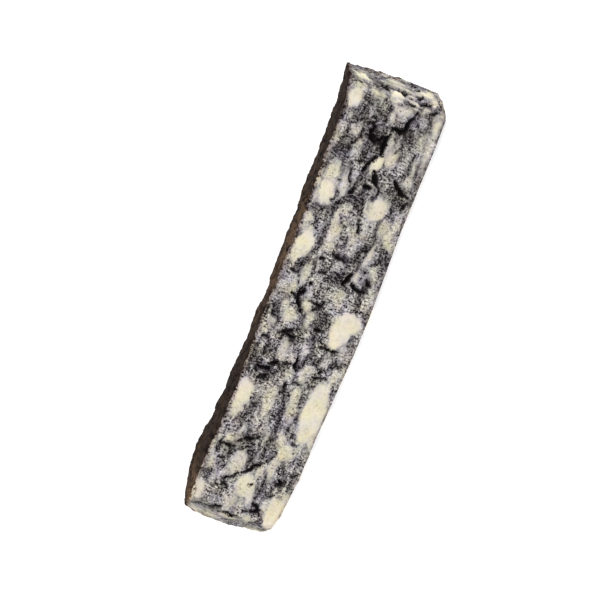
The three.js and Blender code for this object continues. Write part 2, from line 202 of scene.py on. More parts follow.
# Dark smudges of the upper face, each a chain of (mm along, mm across, half width in mm)
POOLS = [
    [(6.3, 12.5, 1.6), (7, 20, 2)], [(18.5, 12.4, 1.4), (23, 12, 1.5), (20.8, 9.6, 0.9), (24.5, 9.4, 0.8)],
    [(21.8, 18.5, 0.4), (18, 21.3, 0.5), (11.5, 20, 0.4)],
    [(29, 15.5, 0.6), (33, 17.5, 0.9), (37.3, 16.5, 1)], [(33.5, 12.5, 1.6), (36.5, 12, 1.2)],
    [(37.5, 21.5, 1.2), (41.5, 24.5, 3), (36.5, 27.8, 1.7), (30.5, 27.9, 1.1)],
    [(44.3, 21.2, 1.1), (45.2, 27.5, 1.5)], [(37.5, 33.3, 1.4), (44.3, 33, 1.2)],
    [(36.5, 36.1, 0.9), (41.5, 38.2, 1.2)], [(17.5, 37.9, 1), (25, 38.5, 1.3), (29.5, 37.8, 0.8)],
    [(5.8, 40, 1.8), (8, 43.6, 1.7)], [(18.5, 41, 0.4), (24, 43, 0.7)],
    [(26.5, 44, 0.6), (30, 47.5, 0.8), (35, 45.2, 0.6), (38, 43.3, 0.3)],
    [(51.5, 39.4, 0.6), (49.3, 42, 0.7), (47.6, 45, 0.9), (44.4, 46.1, 0.6)],
    [(45, 17, 0.9), (49.5, 18.5, 1), (55, 18.6, 1.4), (59, 19.5, 1.3)], [(51, 16.6, 0.9), (57, 17, 0.9)],
    [(71.5, 19, 1.8), (74.5, 21.5, 2.2), (79.5, 20, 2), (82.5, 22, 1.6)],
    [(75.5, 15, 1.4), (79.5, 14.6, 2)], [(75, 10.5, 1.1), (79, 11, 1.6), (86, 10.6, 1.2)],
    [(84.5, 16.3, 1.8), (89, 15.6, 1.6), (87, 19, 1.5)],
    [(46, 33.6, 1.3), (53, 34.2, 1.7), (60, 32.9, 1.9), (66, 32.6, 1.6), (71, 31.2, 1.2), (75, 30, 0.9)],
    [(47, 35.9, 0.4), (54.5, 36.1, 0.5), (58.5, 36.4, 0.3)],
    [(75, 22.8, 1.4), (79, 25, 1.5), (82.5, 27.5, 1.5)],
    [(83, 33.4, 1.3), (88, 34.8, 1.4), (91.5, 36.2, 1.1)],
    [(86.8, 36.6, 0.8), (86.5, 41, 0.8), (90.5, 41, 0.9)],
    [(86, 43.6, 0.7), (86.5, 47, 0.8), (92, 47.6, 1), (89.5, 50.5, 1)], [(74, 53, 0.4), (78, 52.8, 0.5)],
    [(93.5, 20, 1.2), (97.5, 21, 1.5), (95, 25, 1.6), (93, 27.8, 1.1), (97.5, 27.5, 0.9)],
    [(102.5, 26.4, 0.6), (107.5, 25, 0.6)], [(99.5, 24.5, 1.2), (101, 27, 1)],
    [(100.5, 15.8, 1), (103.5, 12.2, 2), (108, 12.6, 1.3)],
    [(98.5, 33.6, 1.2), (103, 34.8, 1.8), (108.5, 34.6, 1.4), (112, 35.8, 1), (105, 37.7, 1)],
    [(89.5, 36.5, 1), (96.5, 35.5, 1), (97, 32.5, 0.9)], [(113, 13.2, 0.4), (112.8, 16.6, 0.5)],
    [(126, 14.2, 2.3), (130.5, 15.7, 2), (133, 18, 1.3)], [(127.5, 22.3, 1.2), (132, 22, 1.2)],
    [(126.8, 29.6, 1.6), (128.5, 34, 1.8), (127.3, 37.6, 1.7), (126, 40.5, 1.4)],
    [(117, 28.6, 0.9), (124, 28.3, 0.9)], [(112.5, 28.6, 0.8), (111.5, 32.5, 1.2)],
    [(118, 48.7, 1.5), (124, 47.9, 1.6), (131, 48.4, 1.4)], [(118.6, 52, 1), (117.6, 54, 0.9)],
    [(103, 50.9, 0.5), (105, 53.2, 0.7), (98, 54.2, 0.4)],
    [(144.5, 16.7, 0.6), (150, 15.6, 0.9), (154, 13.4, 1), (156.6, 15.6, 1.2), (158, 11.8, 0.7)],
    [(151.5, 18, 0.3), (157, 18, 0.4)],
    [(136.5, 19.2, 1), (141, 20.4, 1.1), (147, 20.8, 1), (153, 20.2, 1.2), (160, 20.2, 1.4),
     (164, 22.2, 1.6), (166.5, 25.5, 2.1)],
    [(166.5, 25.5, 2.1), (166, 29.6, 2.3), (169.5, 31, 1.2)], [(167.5, 18.9, 0.9), (164, 18.5, 0.8)],
    [(169.5, 25, 1.4), (175, 26.2, 1.2), (181, 26.8, 1.2), (186, 26.5, 1.4)],
    [(170.5, 29.9, 0.8), (174.6, 30, 0.9), (178.5, 28.8, 0.7)], [(162, 32.4, 1.1), (167.5, 32.6, 1.2)],
    [(170, 35.6, 1.3), (172, 37, 1.3)],
    [(140.2, 29.5, 1.1), (139.9, 34.5, 1.4), (139, 38.6, 1.3), (143.5, 39.6, 1.2), (147.6, 40.6, 1.2)],
    [(143.7, 28.6, 1.1), (144.5, 31.3, 1.1), (148.5, 31.6, 1)], [(132.5, 36.5, 1.2), (136, 36.3, 0.9)],
    [(136, 41.3, 0.9), (141, 41.9, 0.9), (147, 43.3, 0.9), (152.5, 43.8, 1.1), (157, 42.9, 0.9),
     (163, 43.6, 0.6), (166, 46.2, 1)],
    [(141.5, 47.5, 0.9), (145.5, 50.2, 1.6), (149.5, 49.3, 1.1), (149, 52.6, 1.1), (142.5, 52.6, 1)],
    [(168, 46.2, 1.1), (173, 45.4, 1.2), (176.5, 45.5, 1.5), (172.5, 49.6, 1.4), (175.6, 51.6, 1)],
    [(178, 42, 0.8), (174, 42.6, 0.6)], [(175.5, 8.8, 1), (179, 9.2, 0.8)],
    [(176.5, 17.2, 0.6), (181, 16.6, 0.8)],
    [(184, 11, 1.6), (188, 13, 2.2), (191.5, 12.2, 1.4), (195.5, 12.6, 0.9)],
    [(186.5, 15.8, 1.1), (191, 16, 1.3), (193.5, 18.5, 1), (199.5, 19.4, 1.1)],
    [(203, 14.6, 2.2), (205, 17, 2.8), (208.5, 17, 1.8)], [(200.5, 7.4, 1.4), (205.5, 7.2, 1.4)],
    [(211.5, 18.5, 1.4), (214, 17, 1.1)],
    [(184.5, 23.6, 1.5), (190, 24.6, 1.9), (195, 24.6, 2.2), (200, 25.6, 2.8), (203, 23, 1.6)],
    [(198, 28.5, 2.3), (193.5, 29.6, 1.8)], [(205.5, 23.6, 0.9), (210, 24.1, 1.1)],
    [(205.5, 27, 0.9), (210, 27.6, 1.1), (213.6, 28, 1.5)],
    [(203, 28.5, 0.9), (205, 31.5, 1.2), (205, 36, 1.9), (200.5, 35.9, 0.8)],
    [(201, 39, 0.9), (207.5, 39.6, 1.8), (204, 42, 1.7), (199, 43.2, 1)],
    [(208.5, 41, 0.4), (212, 41, 0.3), (217.5, 42, 0.4)],
    [(185, 45.4, 1.1), (189, 45.9, 1.2), (194, 46.6, 1.1), (197.5, 47.4, 1)],
    [(188, 50.7, 0.5), (194, 50.6, 0.5), (199, 50.5, 0.4)], [(184.5, 52, 1.2), (188, 53.2, 0.7)],
    [(216.5, 45.6, 0.6), (215, 48, 0.6), (209.5, 47.6, 0.7)],
    [(223.5, 13, 2), (223.6, 18.5, 2.2), (221, 17.2, 1.2)], [(194.5, 37.8, 0.7), (197.5, 38.8, 0.9)],
    [(218.6, 33.4, 0.8), (218.8, 37, 0.9)],
]

# Creases of the rind, each a chain of (mm along, mm up from the foot, half width in mm)
RIND_CREASES = [
    [(24, 24, 0.6), (28, 12, 0.7), (31, 1, 0.6)],
    [(56, 2, 0.5), (59, 13, 0.7), (58, 24, 0.5)],
    [(81, 1, 0.5), (83, 14, 0.6), (87, 24, 0.5)],
    [(108, 3, 0.5), (112, 12, 0.6), (111, 22, 0.5)],
    [(157, 2, 0.5), (160, 13, 0.7), (158.5, 24, 0.6)],
    [(187, 1, 0.6), (188.5, 12, 0.7), (191, 24, 0.6)],
    [(206, 3, 0.5), (209, 16, 0.6), (208, 24, 0.5)],
]


def linear(*rgb):
    """A display colour, with channels from 0 to 255, as the linear colour that shaders use."""
    shares = (channel / 255 for channel in rgb)
    return tuple(s / 12.92 if s <= 0.04045 else ((s + 0.055) / 1.055) ** 2.4 for s in shares)


def length_prop(name, description, default):
    """A length property in millimetres."""
    return FloatProperty(name=name, description=f"{description}, in mm", default=default, min=0, precision=3)


def colour_prop(name, description, *rgb):
    """A colour property whose default is a display colour."""
    return FloatVectorProperty(
        name=name, description=description, default=linear(*rgb), subtype="COLOR", size=3, min=0, max=1
    )


class CheeseShape(bpy.types.PropertyGroup):
    """Sizes of the wedge's surface."""

    fineness: length_prop("Fineness", "Distance between the points of the surface", 0.62)
    unevenness: length_prop("Unevenness", "How far the knife wandered on the cut faces", 0.35)
    swell: length_prop("Curd swell", "How far the curds stand above the seams between them", 0.22)
    grain: length_prop("Grain", "Depth of the fine grain that the knife left", 0.16)
    crumbling: length_prop("Crumbling", "How roughly the two ends are broken", 0.9)
    fold_height: length_prop("Rind folds", "Height of the folds in the rind", 1.0)
    curd_depth: length_prop("Curd depth", "How far a curd of the upper face reaches down", 5.0)
    hidden_curds: IntProperty(name="Hidden curds", description="Curds of the other faces", default=110, min=0)
    seed: IntProperty(name="Seed", description="Seed of the curds of the other faces", default=11)


class CheeseColours(bpy.types.PropertyGroup):
    """Colours of the paste and the rind, among them painted shade in the cracks and in the rind's hollows,
    and painted highlight on the rind's raised streaks.
    """

    # The crack colour is painted shade: the inside of the open cracks, painted near black
    crack: colour_prop("Crack", "Inside of the cracks", 9, 7, 8)
    seam: colour_prop("Seam", "Darkest paste, in the seams", 38, 34, 35)
    dusk: colour_prop("Dark grey", "Dark grey paste", 78, 72, 74)
    grey: colour_prop("Grey", "Middle grey paste", 121, 117, 117)
    ash: colour_prop("Light grey", "Light grey paste", 161, 157, 154)
    cream: colour_prop("Pale", "Palest grey paste", 199, 194, 191)
    ivory: colour_prop("White", "Palest specks of the paste", 216, 212, 202)
    butter: colour_prop("Butter", "Tint of the curds", 255, 251, 231)
    rind: colour_prop("Rind", "Rind", 47, 37, 31)
    # Dark rind: partly the rind's own dark colour, partly painted shade in the low streaks and pits of its
    # relief
    rind_dark_and_hollow_shade: colour_prop("Dark rind", "Folds of the rind", 15, 11, 10)
    # Rust: partly brown of the rind itself, partly painted highlight on its raised streaks and upper part
    rust_and_highlight: colour_prop("Rust", "Brown streaks of the rind", 90, 70, 53)
    bloom: colour_prop("Bloom", "Dusty patches of the rind", 84, 73, 62)
    peach: colour_prop("Peach", "Tint of the paste next to the rind", 236, 200, 166)


class StageSettings(bpy.types.PropertyGroup):
    """The camera, lights and floor."""

    lens: FloatProperty(name="Lens", description="Focal length", default=200, unit="CAMERA")
    view_width: FloatProperty(name="View width", description="Floor in view", default=0.2868, unit="LENGTH")
    turn: FloatProperty(
        name="Turn", description="Turn of the wedge in the view", default=math.radians(68), subtype="ANGLE"
    )
    aim_right: FloatProperty(name="Aim right", description="Aim to the right", default=-0.0064, unit="LENGTH")
    aim_up: FloatProperty(name="Aim up", description="Aim upwards", default=0.0005, unit="LENGTH")
    floor: colour_prop("Floor", "Floor", 252, 252, 252)
    glow: FloatProperty(name="Glow", description="Strength of the floor's own light", default=0.2)
    sky: FloatProperty(name="Sky", description="Strength of the light from all round", default=0.63)
    key: FloatProperty(name="Key", description="Softbox over the rind", default=23.0, unit="POWER")
    fill: FloatProperty(name="Fill", description="Softbox over the thin edge", default=9.2, unit="POWER")
    softbox: FloatProperty(name="Softbox", description="Width of each softbox", default=1.2, unit="LENGTH")


class Reading:
    """One output socket of a node. Python's operators on it add Math or Vector Math nodes."""

    def __init__(self, bench, socket):
        self.bench = bench
        self.socket = socket

    def __add__(self, other):
        return self.bench.math("ADD", self, other)

    __radd__ = __add__

    def __sub__(self, other):
        return self.bench.math("SUBTRACT", self, other)

    def __rsub__(self, other):
        return self.bench.math("SUBTRACT", other, self)

    def __mul__(self, other):
        return self.bench.math("MULTIPLY", self, other)

    __rmul__ = __mul__

    def __truediv__(self, other):
        return self.bench.math("DIVIDE", self, other)

    def __neg__(self):
        return self * -1

    def between(self, start, end):
        """A smooth step from 0, at start, to 1, at end."""
        settings = {"interpolation_type": "SMOOTHSTEP"}
        places = {"Value": self, "From Min": start, "From Max": end}
        return self.bench.node("ShaderNodeMapRange", settings, places)["Result"]

    def part(self, axis):
        """One of the three numbers of a vector."""
        return self.bench.node("ShaderNodeSeparateXYZ", {}, {0: self})[axis]


class Made:
    """A node, whose outputs are read by name or number."""

    def __init__(self, bench, node):
        self.bench = bench
        self.node = node

    def __getitem__(self, output):
        if isinstance(output, int):
            return Reading(self.bench, self.node.outputs[output])
        live = (s for s in self.node.outputs if s.name == output and s.enabled)
        return Reading(self.bench, next(live))


class Bench:
    """Adds nodes to one tree, of a material or of Geometry Nodes."""

    def __init__(self, tree):
        self.tree = tree

    def node(self, kind, settings=None, inputs=None):
        """A node of that type, with its settings made first, then the values or links of its sockets."""
        node = self.tree.nodes.new(kind)
        for name, value in (settings or {}).items():
            if name == "stops":
                self.set_stops(node.color_ramp, value)
            else:
                setattr(node, name, value)
        for name, value in (inputs or {}).items():
            self.feed(node, name, value)
        return Made(self, node)

    def feed(self, node, name, value):
        """Gives one socket, by name or number, its value or link."""
        if isinstance(name, int):
            socket = node.inputs[name]
        else:
            socket = next(s for s in node.inputs if s.name == name and s.enabled)
        if isinstance(value, Reading):
            self.tree.links.new(value.socket, socket)
        elif socket.type == "RGBA" and len(value) == 3:
            socket.default_value = (*value, 1)
        elif socket.type == "VECTOR" and isinstance(value, (int, float)):
            socket.default_value = (value, value, value)
        else:
            socket.default_value = value

    @staticmethod
    def set_stops(ramp, stops):
        """Colour stops of a ramp, as pairs of place and colour."""
        while len(ramp.elements) < len(stops):
            ramp.elements.new(0.5)
        for element, (place, colour) in zip(ramp.elements, stops):
            element.position = place
            element.color = (*colour, 1)

    def math(self, operation, *values):
        """A Math node of any operation, or a Vector Math node where a value is a vector."""
        sockets = [value.socket for value in values if isinstance(value, Reading)]
        vector = any(socket.type in {"VECTOR", "RGBA"} for socket in sockets)
        kind = "ShaderNodeVectorMath" if vector else "ShaderNodeMath"
        return self.node(kind, {"operation": operation}, dict(enumerate(values)))[0]

    def mix(self, share, a, b):
        """The value a, or b where share is 1."""
        return self.node("ShaderNodeMix", {"data_type": "FLOAT"}, {"Factor": share, "A": a, "B": b})["Result"]

    def blend(self, share, a, b, how="MIX"):
        """The colour a, or b where share is 1."""
        settings = {"data_type": "RGBA", "blend_type": how}
        return self.node("ShaderNodeMix", settings, {"Factor": share, "A": a, "B": b})["Result"]

    def noise(self, place, per_mm, detail=2.0, roughness=0.5, output="Fac"):
        """Noise of that many bumps in a millimetre, from about -0.5 to 0.5."""
        inputs = {"Vector": place, "Scale": per_mm, "Detail": detail, "Roughness": roughness}
        return self.node("ShaderNodeTexNoise", {}, inputs)[output] - 0.5

    def leaning_noise(self, place, turn, stretch, **noise):
        """Noise that is turned by those three angles, and stretched where a share of stretch is below 1."""
        inputs = {"Vector": place, "Rotation": turn, "Scale": stretch}
        return self.noise(self.node("ShaderNodeMapping", {}, inputs)[0], **noise)

    def warped(self, place, steps):
        """The place moved in every direction by each step of a warp."""
        for per_mm, reach, detail in steps:
            place = place + self.noise(place, per_mm, detail, output="Color") * reach
        return place


# Warps that pull shapes out of true: each step's bumps in a mm, reach in mm and detail
TORN = ((0.13, 4.5, 2.0), (0.42, 2.2, 3.0))
JAGGED = ((0.25, 1.6, 2.0), (0.8, 1.8, 3.0))
SMUDGED = ((0.22, 3.0, 3.0),)
BENT = ((0.08, 4.0, 2.0),)
DRAWN = ((0.12, 5.0, 2.0),)
SWIRLED = ((0.1, 8.0, 2.0),)


# The places of curds and cracks on the CAD wedge

CURD_SINK = 1.2  # mm from the upper face down to a curd's middle
HIDDEN_FROM_RIND = 4  # mm from the rind side to the nearest hidden curds
HIDDEN_BELOW = 3  # mm further down than curd_depth, for the highest hidden curds
HIDDEN_HALVES = ((3, 12), (1.8, 4.5), (1.6, 3.2))  # least and most half length, width and height, in mm
HIDDEN_TURN = 30  # degrees, either way
HIDDEN_PALENESS = (0.6, 0.75, 0.9, 1.0)


def cad_surface():
    """The CAD wedge's surface, for finding points on it."""
    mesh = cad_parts[NODE].data
    corners = [vertex.co for vertex in mesh.vertices]
    return BVHTree.FromPolygons(corners, [face.vertices for face in mesh.polygons])


def upper_point(surface, along, across):
    """The point of the upper face, by the mm along from the -X end and across from the rind side."""
    low, high = CAD_BOX
    start = Vector((low.x + along * MM, high.y - across * MM, high.z * 2))
    hit = surface.ray_cast(start, Vector((0, 0, -1)))[0]
    return hit or surface.find_nearest(Vector((start.x, start.y, 0)))[0]


def rind_point(surface, along, up):
    """The point of the rind, by the mm along from the -X end and up from the foot."""
    low, high = CAD_BOX
    start = Vector((low.x + along * MM, high.y * 2, up * MM))
    hit = surface.ray_cast(start, Vector((0, -1, 0)))[0]
    return hit or surface.find_nearest(start)[0]


def point_helper(name, points, attributes, edges=()):
    """A helper object that carries points, in mm, and their attributes to Geometry Nodes."""
    mesh = bpy.data.meshes.new(name)
    mesh.from_pydata([point / MM for point in points], edges, [])
    for label, values in attributes.items():
        kind, field = ("FLOAT_VECTOR", "vector") if isinstance(values[0], tuple) else ("FLOAT", "value")
        for item, value in zip(mesh.attributes.new(label, kind, "POINT").data, values):
            setattr(item, field, value)
    helper = bpy.data.objects.new(name, mesh)
    bpy.context.scene.collection.objects.link(helper)
    return helper


def curds_helper(surface, shape):
    """The curds as points: those laid on the upper face, then scattered ones for the other faces."""
    points, halves, turns, paleness = [], [], [], []
    for along, across, half_length, half_width, turn, pale in CURDS:
        points.append(upper_point(surface, along, across) - Vector((0, 0, CURD_SINK * MM)))
        halves.append((half_length, half_width, shape.curd_depth))
        turns.append(math.radians(turn))
        paleness.append(pale)
    low, high = CAD_BOX
    chance = random.Random(shape.seed)
    for _ in range(shape.hidden_curds):
        along = chance.uniform(0, (high.x - low.x) / MM)
        across = chance.uniform(HIDDEN_FROM_RIND, (high.y - low.y) / MM)
        top = upper_point(surface, along, across)
        room = max(0.0, top.z - (shape.curd_depth + HIDDEN_BELOW) * MM)
        points.append(Vector((top.x, top.y, room * chance.random() ** 2)))
        halves.append(tuple(chance.uniform(least, most) for least, most in HIDDEN_HALVES))
        turns.append(math.radians(chance.uniform(-HIDDEN_TURN, HIDDEN_TURN)))
        paleness.append(chance.choice(HIDDEN_PALENESS))
    return point_helper("curds", points, {"half": halves, "turn": turns, "pale": paleness})


def lines_helper(name, lines, place):
    """Lines as chains of edges. place turns the first two numbers of each step into a point."""
    points, reaches, edges = [], [], []
    for line in lines:
        for step, (first, second, reach) in enumerate(line):
            if step:
                edges.append((len(points) - 1, len(points)))
            points.append(place(first, second))
            reaches.append(reach)
    return point_helper(name, points, {"reach": reaches}, edges)


# The Geometry Nodes tree of the wedge

HELPERS = ("Curds", "Cracks", "Pools", "Rind creases")
SIZES = ("Unevenness", "Curd swell", "Grain", "Crumbling", "Rind folds")

# The distances that are stored at the points, each to the faces that look one way along an axis, or either
# way where the sign is 0
SIDES = {"rind_depth": ("Y", 1), "end_depth": ("X", 0), "tip_depth": ("Y", -1), "foot_depth": ("Z", -1)}
FACING = 0.62  # least share of a face's normal along that axis

FAR_OUT = 20.0  # mm out of any curd, before the curds are gone through
SEAM_BLEND = 0.8  # mm to either side of a seam over which the paleness changes
CURD_JOIN = 1.0  # mm over which neighbouring curds run together
CRACK_BEADS, POOL_BEADS, CREASE_BEADS = 0.3, 0.8, 0.5  # mm between the points that stand for a line
CRUMBS_IN_CRACKS = 1.2  # mm

# Where the relief changes: the mm from a side, out of a curd or into a line at which the change starts, and
# at which it is full
TO_RIND, TO_END, TO_FOOT = (0.9, 0.2), (2.2, 0.2), (0.6, 0.1)
TO_CURD, TO_CRACK, TO_CREASE = (0.6, -1.2), (-0.3, 0.3), (-0.2, 0.4)

END_SWELL = 1.5  # how much further curds stand out where an end is broken
FLAKES_PER_MM = 0.34
FLAKE_RIM = 0.45  # distance from a flake's middle, in flakes, at which chips turn into hollows
LEAST_CRACK, MOST_CRACK = 0.6, 1.6  # depth of a crack in mm
CREASE_DEPTH = 0.7  # mm
FOOT_GAP = 0.05  # mm


def stored(bench, name, kind="FLOAT"):
    """An attribute of the geometry that is being looked at."""
    return bench.node("GeometryNodeInputNamedAttribute", {"data_type": kind}, {"Name": name})["Attribute"]


def store(bench, geometry, name, value, kind="FLOAT"):
    """The geometry with that value stored at its points."""
    settings = {"data_type": kind, "domain": "POINT"}
    inputs = {"Geometry": geometry, "Name": name, "Value": value}
    return bench.node("GeometryNodeStoreNamedAttribute", settings, inputs)["Geometry"]


def sampled(bench, geometry, index, value, kind="FLOAT"):
    """A value at one point of another geometry."""
    inputs = {"Geometry": geometry, "Value": value, "Index": index}
    return bench.node("GeometryNodeSampleIndex", {"data_type": kind, "domain": "POINT"}, inputs)["Value"]


def curd_loop(bench, geometry, curds):
    """Goes through the curds, and stores at every point of the surface the distance in mm out of the nearest
    curd as "curd", below 0 inside it, and that curd's paleness as "pale"."""
    settings = {"component": "MESH"}
    count = bench.node("GeometryNodeAttributeDomainSize", settings, {"Geometry": curds})["Point Count"]
    start = bench.tree.nodes.new("GeometryNodeRepeatInput")
    end = bench.tree.nodes.new("GeometryNodeRepeatOutput")
    start.pair_with_output(end)
    bench.feed(start, "Iterations", count)
    bench.feed(start, "Geometry", geometry)
    number = Reading(bench, start.outputs["Iteration"])
    inside = Reading(bench, start.outputs["Geometry"])

    centre = sampled(bench, curds, number, bench.node("GeometryNodeInputPosition")[0], "FLOAT_VECTOR")
    half = sampled(bench, curds, number, stored(bench, "half", "FLOAT_VECTOR"), "FLOAT_VECTOR")
    turn = sampled(bench, curds, number, stored(bench, "turn"))
    spin = {"Vector": stored(bench, "torn", "FLOAT_VECTOR") - centre, "Angle": -turn}
    lying = bench.node("ShaderNodeVectorRotate", {"rotation_type": "Z_AXIS"}, spin)[0]
    out = bench.node("ShaderNodeVectorMath", {"operation": "LENGTH"}, {0: lying / half})["Value"] - 1
    out = out * bench.math("MINIMUM", half.part(0), half.part(1))
    before = stored(bench, "curd")
    nearer = (before - out).between(-SEAM_BLEND, SEAM_BLEND)
    pale = bench.mix(nearer, stored(bench, "pale"), sampled(bench, curds, number, stored(bench, "pale")))
    inside = store(bench, inside, "pale", pale)
    inside = store(bench, inside, "curd", bench.math("SMOOTH_MIN", before, out, CURD_JOIN))
    bench.feed(end, "Geometry", inside)
    return Reading(bench, end.outputs["Geometry"])


def nearest_line(bench, lines, place, spacing):
    """How far inside the nearest line of a helper a place is, in mm, and that line's half width."""
    curve = bench.node("GeometryNodeMeshToCurve", {}, {"Mesh": lines})["Curve"]
    inputs = {"Curve": curve, "Length": spacing}
    beads = bench.node("GeometryNodeCurveToPoints", {"mode": "LENGTH"}, inputs)["Points"]
    near = {"Geometry": beads, "Sample Position": place}
    distance = bench.node("GeometryNodeProximity", {"target_element": "POINTS"}, near)["Distance"]
    index = bench.node("GeometryNodeSampleNearest", {"domain": "POINT"}, near)["Index"]
    reach = sampled(bench, beads, index, stored(bench, "reach"))
    return reach - distance, reach


def faces_looking(bench, geometry, axis, sign):
    """Distance in mm to the faces that look mainly along that axis, either way where sign is 0."""
    look = bench.node("GeometryNodeInputNormal")[0].part(axis)
    toward = look * sign if sign else bench.math("ABSOLUTE", look)
    inputs = {"Geometry": geometry, "Selection": bench.math("GREATER_THAN", toward, FACING)}
    patch = bench.node("GeometryNodeSeparateGeometry", {"domain": "FACE"}, inputs)[0]
    settings = {"target_element": "FACES"}
    return bench.node("GeometryNodeProximity", settings, {"Geometry": patch})["Distance"] / MM


def cut_height(bench, given, place, torn, is_end, crack_reach):
    """Height in mm of the relief of the cut faces and the broken ends."""
    in_curd = stored(bench, "curd").between(*TO_CURD)
    in_crack = stored(bench, "crack").between(*TO_CRACK)
    wander = bench.noise(place, per_mm=0.045, detail=1.0) * given["Unevenness"]
    grain = bench.noise(place, per_mm=0.9, detail=3.0, roughness=0.6) * given["Grain"]
    swell = (in_curd - 0.5) * given["Curd swell"] * (1 + is_end * END_SWELL)
    broken = bench.noise(place, per_mm=0.16, detail=4.0, roughness=0.62) * given["Crumbling"]
    flakes = bench.node("ShaderNodeTexVoronoi", {}, {"Vector": torn, "Scale": FLAKES_PER_MM})["Distance"]
    chips = (FLAKE_RIM - flakes) * given["Crumbling"] * 0.9
    crack_depth = bench.math("MINIMUM", crack_reach + LEAST_CRACK, MOST_CRACK) * in_crack
    return (wander + grain) * 2 + swell + (broken * 2 + chips) * is_end - crack_depth


def crust_height(bench, given, place, crease):
    """Height in mm of the relief of the rind."""
    bent = bench.warped(place * (0.7, 1.0, 0.5), BENT)
    folds = bench.noise(bent, per_mm=0.19, detail=4.0, roughness=0.62) * given["Rind folds"] * 3.6
    pores = bench.noise(place, per_mm=0.5, detail=3.0, roughness=0.6) * given["Rind folds"]
    return folds + pores - crease.between(*TO_CREASE) * CREASE_DEPTH


def relief_tree(material):
    """The tree that gives the plain fine wedge its curds, cracks, crumbled ends and folded rind."""
    tree = bpy.data.node_groups.new("Cheese relief", "GeometryNodeTree")
    bench = Bench(tree)
    sockets = [("INPUT", "Geometry", "NodeSocketGeometry")]
    sockets += [("INPUT", name, "NodeSocketObject") for name in HELPERS]
    sockets += [("INPUT", name, "NodeSocketFloat") for name in SIZES]
    sockets += [("OUTPUT", "Geometry", "NodeSocketGeometry")]
    for direction, name, kind in sockets:
        tree.interface.new_socket(name=name, in_out=direction, socket_type=kind)
    given = bench.node("NodeGroupInput")

    def helper(name):
        return bench.node("GeometryNodeObjectInfo", {}, {"Object": given[name]})["Geometry"]

    def over(kind, geometry, **inputs):
        return bench.node(kind, {}, {"Geometry": geometry, **inputs})["Geometry"]

    position = bench.node("GeometryNodeInputPosition")[0]
    place = position / MM
    torn = bench.warped(place, TORN)
    jagged = bench.warped(place, JAGGED)
    crack, crack_reach = nearest_line(bench, helper("Cracks"), jagged, CRACK_BEADS)
    crack = crack + bench.noise(place, per_mm=0.5) * CRUMBS_IN_CRACKS
    pool, _ = nearest_line(bench, helper("Pools"), bench.warped(place, SMUDGED), POOL_BEADS)
    crease, _ = nearest_line(bench, helper("Rind creases"), jagged, CREASE_BEADS)

    plain = geometry = given["Geometry"]
    for name, (axis, sign) in SIDES.items():
        geometry = store(bench, geometry, name, faces_looking(bench, plain, axis, sign))
    geometry = store(bench, geometry, "torn", torn, "FLOAT_VECTOR")
    for name, value in {"crack": crack, "pool": pool, "curd": FAR_OUT, "pale": 0.5}.items():
        geometry = store(bench, geometry, name, value)
    geometry = curd_loop(bench, geometry, helper("Curds"))

    is_rind = stored(bench, "rind_depth").between(*TO_RIND)
    is_end = stored(bench, "end_depth").between(*TO_END) * (1 - is_rind)
    is_foot = stored(bench, "foot_depth").between(*TO_FOOT)
    cut = cut_height(bench, given, place, torn, is_end, crack_reach)
    height = bench.mix(is_rind, cut, crust_height(bench, given, place, crease))
    height = bench.mix(is_foot, height, bench.math("MINIMUM", height, 0.0) - FOOT_GAP)
    normal = bench.node("GeometryNodeInputNormal")[0]
    geometry = over("GeometryNodeSetPosition", geometry, Offset=normal * (height * MM))
    above_floor = bench.math("MAXIMUM", position, (-1, -1, 0))
    geometry = over("GeometryNodeSetPosition", geometry, Position=above_floor)
    geometry = over("GeometryNodeSetShadeSmooth", geometry)
    geometry = over("GeometryNodeRealizeInstances", geometry)
    geometry = over("GeometryNodeSetMaterial", geometry, Material=material)
    bench.node("NodeGroupOutput", {}, {"Geometry": geometry})
    return tree


def set_inputs(modifier, values):
    """Gives a Geometry Nodes modifier its inputs by their sockets' names."""
    for item in modifier.node_group.interface.items_tree:
        if item.item_type == "SOCKET" and item.in_out == "INPUT" and item.name in values:
            modifier[item.identifier] = values[item.name]


# Materials

# Lightness of the paste, from 0 to 1, at which it has each of its colours; the crack colour is painted shade
TONES = {"crack": 0.04, "seam": 0.20, "dusk": 0.36, "grey": 0.54, "ash": 0.71, "cream": 0.86, "ivory": 0.98}
# The first of these is painted shade: the near-black lightness of the inside of the open cracks
CRACK_SHADE_TONE, POOL_TONE, GREY_TONE, CURD_TONE = 0.02, 0.2, 0.465, 0.86
GREYER = 0.55  # how much darker a curd of paleness 0 is than one of paleness 1
GRAIN_LIFT, LIFT_BLEND = 0.24, 0.15  # how far the grain may rise above the broad tone, and how softly

# Lightness between which grain and tints change
DARK_PASTE, LIGHT_PASTE, BARE_CURD, CURD_TINT = (0.4, 0.1), (0.48, 0.86), (0.88, 0.7), (0.58, 0.86)

# Where the looks change: the mm from a side, out of a curd or into a line at which the change starts, and at
# which it is full
CURD_EDGE, POOL_EDGE, CRACK_EDGE = (1.2, -1.2), (-0.5, 0.8), (-0.28, 0.44)
RIND_EDGE, SOILED_RIM, END_EDGE = (1.0, 0.6), (3.2, 0.2), (2.5, 0.6)
WARM_BY_RIND, WARM_BY_TIP, WARM_BY_END = (3.2, 0.6), (2.0, 0.0), (3.0, 0.3)

# Places between which the looks change, in mm along the wedge from its middle
RIGHT_PART, SMOOTH_RIGHT, SMOOTH_LEFT = (-60.0, 110.0), (-30.0, 90.0), (-20.0, -70.0)
BROWNER_MIDDLE, BROWNER_REACH, BROWNER_END = 20, (40, 8), (-84, -96)

STROKE_TURN, STREAK_TURN = (0, 0, 0.22), (0, 0.4, 0)  # radians about each axis


def read(bench, name):
    """A stored attribute, in a material."""
    return bench.node("ShaderNodeAttribute", {"attribute_name": name})["Fac"]


